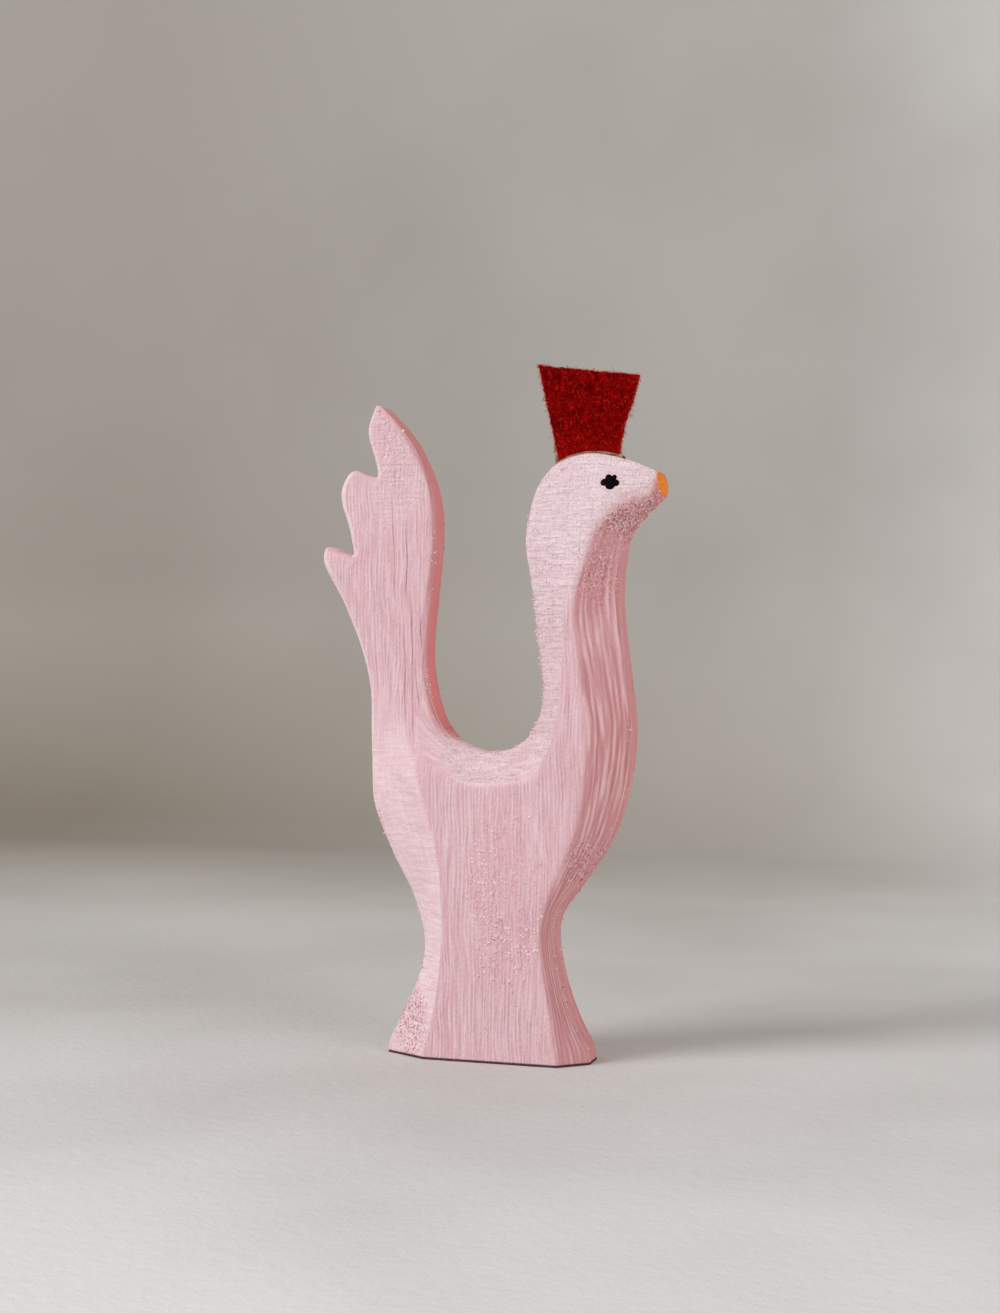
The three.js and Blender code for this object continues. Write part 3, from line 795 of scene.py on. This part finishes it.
class Shader:
    """A material with one Principled surface, and short ways to add nodes to it."""

    def __init__(self, name):
        self.material = bpy.data.materials.new(name)
        self.material.use_nodes = True
        self.tree = self.material.node_tree
        self.tree.nodes.clear()
        self.surface = self.add("BsdfPrincipled")
        self.add("OutputMaterial", {"Surface": self.surface.outputs["BSDF"]})
        self.place = self.add("TexCoord").outputs["Object"]  # in metres

    def add(self, kind, sockets=None, **settings):
        """A new shader node. sockets says what goes into its inputs, by their names or numbers."""
        node = self.tree.nodes.new("ShaderNode" + kind)
        for key, value in settings.items():
            setattr(node, key, value)
        for key, value in (sockets or {}).items():
            self.feed(node.inputs[key], value)
        return node

    def feed(self, target, source):
        if isinstance(source, bpy.types.NodeSocket):
            self.tree.links.new(source, target)
        else:
            target.default_value = source

    def noise(self, per_mm, detail=2.0, roughness=0.5, distortion=0.0, shift=0.0):
        scale = [value / MM for value in per_mm]
        change = {"Vector": self.place, "Scale": scale, "Location": (shift, shift, shift)}
        place = self.add("Mapping", change).outputs["Vector"]
        look = {"Scale": 1, "Detail": detail, "Roughness": roughness, "Distortion": distortion}
        return self.add("TexNoise", {"Vector": place, **look}).outputs["Fac"]

    def attribute(self, name):
        return self.add("Attribute", attribute_name=name).outputs["Fac"]

    def math(self, operation, first, second=0.0):
        return self.add("Math", {0: first, 1: second}, operation=operation).outputs["Value"]

    def times(self, first, second):
        return self.math("MULTIPLY", first, second)

    def coordinates(self):
        """The x, y and z of the place, in metres."""
        node = self.add("SeparateXYZ", {0: self.place})
        return [node.outputs[axis] for axis in ("X", "Y", "Z")]

    def between(self, value, low, high, out_low=0.0, out_high=1.0):
        limits = {"From Min": low, "From Max": high, "To Min": out_low, "To Max": out_high}
        return self.add("MapRange", {"Value": value, **limits}, clamp=True).outputs["Result"]

    def blend(self, share, first, second):
        """The first value where share is 0, the second where it is 1."""
        return self.add("Mix", {0: share, 2: first, 3: second}, data_type="FLOAT").outputs[0]

    def lines(self, along, period_mm, wander):
        """Even brush lines across one direction, which drift, split and merge."""
        drift = self.noise((0.45, 0.45, 0.1), detail=1, shift=21)
        fading = self.noise((0.6, 0.6, 0.22), detail=1, shift=31)
        strength = self.between(fading, 0.35, 0.65, 0.1, 0.5)
        phase = self.times(along, 2 * math.pi / (period_mm * MM))
        phase = self.math("ADD", phase, self.times(drift, wander))
        wave = self.times(self.math("SINE", phase), strength)
        return self.math("ADD", wave, 0.5)

    def centred(self, value, amount):
        """A noise as a height around zero, scaled by a mask, so that the mask's edge makes no step."""
        return self.times(self.math("SUBTRACT", value, 0.5), amount)

    def groove(self, x, z, top, bottom, half_width):
        """1 along the middle of a straight line between two x, z ends in millimetres, 0 beside it."""
        slope = (top[0] - bottom[0]) / (top[1] - bottom[1])
        start = (bottom[0] - slope * bottom[1]) * MM
        line = self.math("ADD", self.times(z, slope), start)
        away = self.math("ABSOLUTE", self.math("SUBTRACT", x, line))
        across = self.between(away, 0, half_width * MM, 1, 0)
        over = self.between(z, (bottom[1] - 2) * MM, (bottom[1] + 2) * MM)
        under = self.between(z, (top[1] - 4) * MM, (top[1] + 1) * MM, 1, 0)
        return self.times(across, self.times(over, under))

    def sway(self, per_mm, shift_mm):
        """Lets every later pattern wander sideways by up to about shift_mm."""
        drift = self.math("SUBTRACT", self.noise(per_mm, detail=1), 0.5)
        offset = self.add("CombineXYZ", {"X": self.times(drift, 4 * shift_mm * MM)})
        both = {0: self.place, 1: offset.outputs["Vector"]}
        self.place = self.add("VectorMath", both, operation="ADD").outputs["Vector"]

    def ramp(self, value, stops):
        node = self.add("ValToRGB", {"Fac": value})
        elements = node.color_ramp.elements
        while len(elements) < len(stops):
            elements.new(0.5)
        for element, (position, colour) in zip(elements, stops):
            element.position = position
            element.color = tint(*colour)
        return node.outputs["Color"]

    def mix(self, share, first, second):
        """The first colour where share is 0, the second where it is 1."""
        if isinstance(second, tuple):
            second = tint(*second)
        return self.add("Mix", {0: share, 6: first, 7: second}, data_type="RGBA").outputs[2]

    def bump(self, height, distance_mm, strength=1.0, under=None):
        sockets = {"Strength": strength, "Distance": distance_mm * MM, "Height": height}
        if under is not None:
            sockets["Normal"] = under
        return self.add("Bump", sockets).outputs["Normal"]

    def finish(self, colour, roughness, specular, normal=None):
        """Says what the surface looks like, and gives back the material."""
        self.feed(self.surface.inputs["Base Color"], colour)
        self.feed(self.surface.inputs["Roughness"], roughness)
        self.feed(self.surface.inputs["Specular IOR Level"], specular)
        if normal is not None:
            self.feed(self.surface.inputs["Normal"], normal)
        return self.material


BODY_MASKS = "ridge side warmth calm brushed open_grain rough_patch tail bare under".split()


def brush_streaks(shader, swayed, side):
    """Brush lines, 0 in grooves to 1 on ridges: up the side faces, along the outline on bevels."""
    up = shader.noise((3.4, 0.3, 0.2), detail=1.5, distortion=0.2)
    up = shader.blend(0.24, up, shader.lines(swayed[0], 0.54, 10))
    outline = shader.noise((0.14, 4.2, 0.14), detail=1.5, distortion=0.15, shift=7)
    outline = shader.blend(0.26, outline, shader.lines(swayed[1], 0.46, 7))
    return shader.blend(side, outline, up)


def brushed_pink(shader, mask, height, streaks, strokes):
    """The paint's colour with painted light and shade: pale on ridges and deeper in grooves, partly as
    painted shade in them; paler with brush strokes on the facets that face the window and towards the
    top of the head, as painted light; redder and darker on the bevels in front, which face away from
    it, as painted shade.
    """
    level = shader.math("ADD", shader.times(mask["ridge"], 0.1), shader.times(streaks, 0.9))
    # Pale on ridges, deeper and pinker in grooves: partly painted shade in the grooves.
    cool = shader.ramp(level, [
        (0.36, (223, 178, 186)),
        (0.5, (230, 194, 202)),
        (0.64, (240, 212, 218)),
    ])
    # Painted light: a paler copy of the pink, with brush strokes, for the brushed facets that face the
    # window.
    window_lit_pink = shader.ramp(strokes, [
        (0.36, (236, 204, 211)),
        (0.5, (249, 223, 230)),
        (0.64, (255, 240, 245)),
    ])
    cool = shader.mix(shader.between(mask["calm"], 0.1, 0.9, 0.85, 0), cool, window_lit_pink)
    # Painted light: paler towards the top of the head.
    head_light = shader.math("SUBTRACT", 1.0, mask["tail"])
    head_light = shader.times(head_light, shader.between(height, 64 * MM, 78 * MM, 0, 0.5))
    cool = shader.mix(head_light, cool, (255, 238, 244))
    # Painted shade: a redder, darker copy of the pink for the bevels that face away from the window.
    shaded_pink = shader.ramp(level, [
        (0.35, (194, 118, 119)),
        (0.5, (212, 148, 150)),
        (0.65, (238, 196, 199)),
    ])
    return shader.mix(shader.times(mask["warmth"], 0.92), cool, shaded_pink)


def edge_band_shade(shader, mask, depth, height, grit):
    """Painted shade on the saw-cut edge band where it faces away from the window, a deep red, with a
    ragged border: most on the inside of the tail.
    """
    from_middle = shader.math("ADD", shader.math("ABSOLUTE", depth), shader.times(grit, 0.3 * MM))
    on_band = shader.between(from_middle, (HALF_BAND - 0.1) * MM, (HALF_BAND + 0.1) * MM, 1, 0)
    on_band = shader.times(on_band, mask["warmth"])
    redness = shader.between(height, 50 * MM, 90 * MM, 0.8, 0.5)
    return shader.times(on_band, shader.blend(mask["tail"], 0.25, redness))


def crumb_pattern(shader, rough_patch):
    """Small raised crumbs of paint, in clusters on the rough patches."""
    flakes = shader.noise((2.5, 2.5, 1.6), roughness=0.55, distortion=0.8, shift=17)
    clusters = shader.between(shader.noise((0.35, 0.35, 0.14), detail=1.5, shift=41), 0.35, 0.6)
    return shader.times(shader.times(rough_patch, clusters), shader.between(flakes, 0.49, 0.62))


def tail_grooves(shader, swayed, side):
    """The deep grain lines that show on the tail's side faces."""
    grooves = 0.0
    for groove in TAIL_GROOVES:
        line = shader.groove(swayed[0], swayed[2], *groove)
        grooves = shader.math("MAXIMUM", grooves, line)
    return shader.times(grooves, side)


def painted_wood():
    """Chalky pink paint over brushed grain, with the marks of its making, use and age."""
    shader = Shader("chalky_pink_paint")
    _, depth, height = shader.coordinates()
    shader.sway((0.16, 0.16, 0.1), 0.35)
    swayed = shader.coordinates()
    mask = {name: shader.attribute(name) for name in BODY_MASKS}
    open_grain, rough_patch, calm = mask["open_grain"], mask["rough_patch"], mask["calm"]
    grit = shader.noise((3.4, 3.4, 2.8), roughness=0.55, shift=9)
    streaks = brush_streaks(shader, swayed, mask["side"])
    streaks = shader.blend(shader.times(open_grain, 0.7), streaks, grit)
    hairs = shader.noise((7.0, 7.0, 0.5), roughness=0.6, shift=4)
    strokes = shader.noise((0.35, 0.35, 2.8), detail=3, roughness=0.65, distortion=0.5)
    hatching = shader.noise((2.6, 2.6, 0.5), roughness=0.6, shift=13)
    stipple = shader.noise((4.0, 4.0, 2.6), roughness=0.6, distortion=0.4, shift=51)
    clouds = shader.noise((0.09, 0.09, 0.07), shift=2)
    crumbs = crumb_pattern(shader, rough_patch)
    grooves = tail_grooves(shader, swayed, mask["side"])
    drip = shader.groove(swayed[2], swayed[0], *ORANGE_LINE)
    bare_wood = shader.ramp(streaks, [(0.3, (170, 126, 84)), (0.7, (208, 170, 122))])

    colour = brushed_pink(shader, mask, height, streaks, strokes)
    dots = shader.between(stipple, 0.38, 0.5, 1, 0)
    dots = shader.times(dots, shader.between(calm, 0, 1, 0.05, 0.26))
    pits = shader.times(shader.between(grit, 0.38, 0.48, 1, 0), open_grain)
    specks = shader.times(shader.between(grit, 0.54, 0.62), open_grain)
    thin = shader.times(mask["bare"], shader.between(grit, 0.45, 0.6))
    marks = [  # how much of each mark and of each painted shade shows, and its colour, from the lowest to the topmost
        (shader.between(clouds, 0.35, 0.7, 0, 0.25), (224, 180, 188)),
        (dots, (212, 160, 169)),
        # Painted shade on the edge band where it faces away from the window.
        (edge_band_shade(shader, mask, depth, height, grit), (226, 128, 122)),
        (shader.times(pits, 0.75), (196, 84, 90)),
        (shader.times(specks, 0.5), (255, 232, 235)),
        # Pinker over the rough patches: painted pink shade among their bumps.
        (shader.times(rough_patch, 0.25), (234, 178, 188)),
        (shader.times(crumbs, 0.6), (246, 218, 224)),
        (shader.times(grooves, 0.8), (190, 130, 138)),
        (shader.times(drip, 0.55), (238, 150, 96)),
        (shader.times(thin, 0.6), (222, 158, 128)),
        (mask["under"], bare_wood),
        # A dark strip along the foot's bottom edge: painted contact shadow.
        (shader.between(height, 0.28 * MM, 0.45 * MM, 0.95, 0), (58, 28, 28)),
    ]
    for share, mark in marks:
        colour = shader.mix(share, colour, mark)

    rough_places = shader.math("MAXIMUM", open_grain, shader.between(rough_patch, 0, 1, 0.38, 0.5))
    reliefs = [  # height pattern, its height in millimetres, strength
        (shader.centred(streaks, calm), 0.29, 0.85),
        (shader.times(grooves, -1.0), 0.1, 0.9),
        (hairs, 0.06, 0.6),
        (stipple, 0.14, 0.9),
        (shader.centred(strokes, mask["brushed"]), 0.46, 0.9),
        (shader.centred(hatching, mask["brushed"]), 0.4, 0.85),
        (shader.centred(grit, rough_places), 0.32, 0.85),
        (crumbs, 0.08, 0.9),
    ]
    normal = None
    for pattern, distance_mm, strength in reliefs:
        normal = shader.bump(pattern, distance_mm, strength, normal)
    roughness = shader.between(shader.math("ADD", streaks, grit), 0.7, 1.3, 0.7, 0.95)
    return shader.finish(colour, roughness, 0.25, normal)


def loose_paint():
    """Paint on the torn fibres and the crumbs, each with a tone of its own."""
    shader = Shader("paint_on_torn_fibres")
    stops = [(0.1, (224, 172, 178)), (0.7, (247, 222, 226))]
    colour = shader.ramp(shader.attribute("tone"), stops)
    return shader.finish(colour, 0.9, 0.2)


def wool_felt(loose):
    """Dense red felt: dark between the fibres, brighter on the matted ones."""
    shader = Shader("red_felt_fibres" if loose else "red_felt")
    if loose:
        value = shader.attribute("tone")
    else:
        first = shader.noise((1.3, 1.3, 3.4), detail=4, roughness=0.7, distortion=1.2)
        second = shader.noise((3.2, 3.2, 1.2), detail=4, roughness=0.7, distortion=1.2, shift=5)
        value = shader.times(shader.math("ADD", first, second), 0.5)
    colour = shader.ramp(value, [
        (0.08 if loose else 0.42, (84, 0, 2)),
        (0.32 if loose else 0.51, (142, 1, 3)),
        (0.6, (200, 10, 7)),
        (0.97, (244, 92, 62)),
    ])
    height = shader.coordinates()[2]
    low = shader.between(height, 86 * MM, 91 * MM, 0.4, 0)
    colour = shader.mix(low, colour, (206, 22, 10))
    return shader.finish(colour, 0.95, 0.05, None if loose else shader.bump(value, 0.3, 0.9))


def glue_and_painted_shade():
    shader = Shader("dried_glue_and_painted_shade")
    clouds = shader.noise((0.8, 0.8, 0.8), detail=3)
    # Darker brown than the glue alone, partly painted shade for the shade line at the comb's root.
    stops = [(0.3, (104, 64, 50)), (0.5, (150, 110, 88)), (0.75, (206, 178, 148))]
    normal = shader.bump(shader.noise((2.2, 2.2, 2.2), detail=3), 0.06, 0.5)
    roughness = shader.between(clouds, 0.3, 0.7, 0.4, 0.65)
    colour = shader.ramp(clouds, stops)
    return shader.finish(colour, roughness, 0.35, normal)


def orange_paint():
    """Thick orange paint, with brush lines."""
    shader = Shader("orange_beak_paint")
    strokes = shader.noise((0.8, 0.8, 2.8), detail=3, roughness=0.6, distortion=0.4)
    patches = shader.noise((0.7, 0.7, 0.7), detail=2, shift=6)
    stops = [(0.25, (216, 98, 0)), (0.5, (238, 130, 2)), (0.75, (252, 158, 14))]
    colour = shader.ramp(strokes, stops)
    colour = shader.mix(shader.between(patches, 0.4, 0.7, 0, 0.5), colour, (240, 138, 4))
    normal = shader.bump(strokes, 0.07, 0.6)
    roughness = shader.between(strokes, 0.3, 0.7, 0.5, 0.7)
    return shader.finish(colour, roughness, 0.3, normal)


def black_paint():
    shader = Shader("black_eye_paint")
    strokes = shader.noise((2.4, 2.4, 2.4), detail=3, roughness=0.6, distortion=0.6)
    stops = [(0.3, (1, 1, 3)), (0.6, (3, 3, 8)), (0.85, (14, 15, 24))]
    colour = shader.ramp(strokes, stops)
    normal = shader.bump(strokes, 0.07, 0.6)
    roughness = shader.between(strokes, 0.3, 0.7, 0.5, 0.75)
    return shader.finish(colour, roughness, 0.06, normal)


def plaster():
    """Fine plaster for a floor that turns into a wall, with painted light and shade: palest on the
    floor in front and greyer towards the back and up the wall, a painted shadow low on the wall's
    left, painted light on the right, and darker far away.
    """
    shader = Shader("pale_plaster")
    x, y, z = shader.coordinates()
    # Painted light and shade: palest on the floor in front, greyer towards the back and up the wall.
    back, up = shader.between(y, -0.14, 0.3, 0, 0.6), shader.between(z, 0.0, 0.12, 0, 0.4)
    depth = shader.math("ADD", back, up)
    colour = shader.ramp(depth, [
        (0.0, (246, 247, 249)),
        (0.22, (214, 212, 210)),
        (0.5, (198, 195, 190)),
        (0.75, (190, 188, 184)),
        (1.0, (190, 189, 186)),
    ])
    # A painted shadow, low on the left of the wall.
    left = shader.times(shader.between(x, -0.24, 0.1, 1, 0), shader.between(y, 0.12, 0.3))
    left = shader.times(left, shader.between(z, 0.01, 0.07, 0.88, 0.5))
    colour = shader.mix(left, colour, (132, 122, 108))
    # Painted light on the right.
    right = shader.between(x, 0.0, 0.2, 0, 0.9)
    colour = shader.mix(right, colour, (238, 238, 238))
    # Painted shade: darker far away.
    away = shader.add("VectorMath", {0: shader.place}, operation="LENGTH")
    far_shade = shader.between(away.outputs["Value"], 0.6, 1.5, 0, 0.8)
    colour = shader.mix(far_shade, colour, (140, 138, 136))
    clouds = shader.noise((0.012, 0.012, 0.012), detail=3)
    colour = shader.mix(shader.between(clouds, 0.4, 0.7, 0, 0.25), colour, (150, 145, 138))
    grit = shader.noise((0.5, 0.5, 0.5), detail=5, roughness=0.65)
    near = shader.between(y, 0.05, 0.2, 1, 0.1)
    normal = shader.bump(shader.times(grit, near), 0.5, 0.5)
    roughness = shader.between(grit, 0.3, 0.7, 0.85, 0.98)
    return shader.finish(colour, roughness, 0.1, normal)


# ---- stage, light and camera

WALL_AT = 360
FILLET = 90
STAGE_HALF_WIDTH = 1500
STAGE_FRONT = -1500
WALL_TOP = 1300
FILLET_STEPS = 24


def sweep():
    """A floor that curves up into a wall behind the object."""
    profile = [(STAGE_FRONT, 0), (WALL_AT - FILLET, 0)]
    for step in range(1, FILLET_STEPS + 1):
        turn = step / FILLET_STEPS * math.pi / 2
        profile.append((WALL_AT - FILLET + FILLET * math.sin(turn), FILLET * (1 - math.cos(turn))))
    profile.append((WALL_AT, WALL_TOP))
    points = [(x, y, z) for x in (-STAGE_HALF_WIDTH, STAGE_HALF_WIDTH) for y, z in profile]
    count = len(profile)
    faces = [[k, count + k, count + k + 1, k + 1] for k in range(count - 1)]
    return piece_from("stage_sweep", points, faces)


LIT_POINT = (0, 0, 0.05)
LAMPS = [  # name, place, diameter, power, colour
    ("window", (-1.32, -1.12, 1.2), 0.9, 24.4, (1.0, 0.99, 0.98)),
    ("bounce", (1.6, -0.9, 0.2), 1.0, 12.8, (1.0, 0.89, 0.86)),
]
SURROUND_COLOUR = (1.0, 0.985, 0.97, 1)
SURROUND_STRENGTH = 0.43


def lamp(name, place, size, power, colour):
    light = bpy.data.lights.new(name, "AREA")
    light.shape = "DISK"
    light.size = size
    light.energy = power
    light.color = colour
    piece = linked(name, light)
    piece.location = place
    direction = Vector(LIT_POINT) - Vector(place)
    piece.rotation_euler = direction.to_track_quat("-Z", "Y").to_euler()


def light_scene():
    """Soft window light from the upper left, warmer light back from the right, and a pale surround."""
    for lamp_values in LAMPS:
        lamp(*lamp_values)
    world = bpy.data.worlds.new("surround")
    world.use_nodes = True
    background = world.node_tree.nodes["Background"]
    background.inputs["Color"].default_value = SURROUND_COLOUR
    background.inputs["Strength"].default_value = SURROUND_STRENGTH
    bpy.context.scene.world = world
    bpy.context.scene.view_settings.view_transform = "Standard"


def place_camera():
    data = bpy.data.cameras.new("camera")
    data.sensor_width = CAMERA_SENSOR
    data.lens = CAMERA_LENS
    data.clip_start = 0.01
    data.clip_end = 20
    camera = linked("camera", data)
    camera.location = CAMERA_PLACE
    camera.rotation_euler = (math.pi / 2, 0, CAMERA_TURN)
    bpy.context.scene.camera = camera


# ---- putting it together

def finish_piece(piece, material, nodes=()):
    """Gives a piece its material, and says what it is to the frame."""
    piece.data.materials.append(material)
    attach(piece, "root")
    if nodes:
        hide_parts(*nodes)


body = carve_body()
finish_piece(body, painted_wood(), ["wood_body"])
loose = loose_paint()
whiskers = torn_whiskers(body)
finish_piece(whiskers, loose)
crumbs = paint_crumbs(body)
finish_piece(crumbs, loose)
body_tree = BVHTree.FromObject(body, bpy.context.evaluated_depsgraph_get())

coat = beak_coat(body)
finish_piece(coat, orange_paint(), ["beak_paint"])
black = black_paint()
for side, name in ((1, "left"), (-1, "right")):
    dab = eye_dab(body_tree, side, f"eye_dab_{name}")
    finish_piece(dab, black, [f"eye_paint_{name}"])

felt = felt_slab()
finish_piece(felt, wool_felt(loose=False), ["felt_comb"])
fuzz = felt_fuzz()
finish_piece(fuzz, wool_felt(loose=True))
glue_and_shade = glue_and_painted_shade()
glue = glue_bead()
finish_piece(glue, glue_and_shade, ["comb_glue"])
run = glue_run()
finish_piece(run, glue_and_shade)

stage = sweep()
stage.data.materials.append(plaster())
light_scene()
place_camera()

bpy.context.view_layer.update()
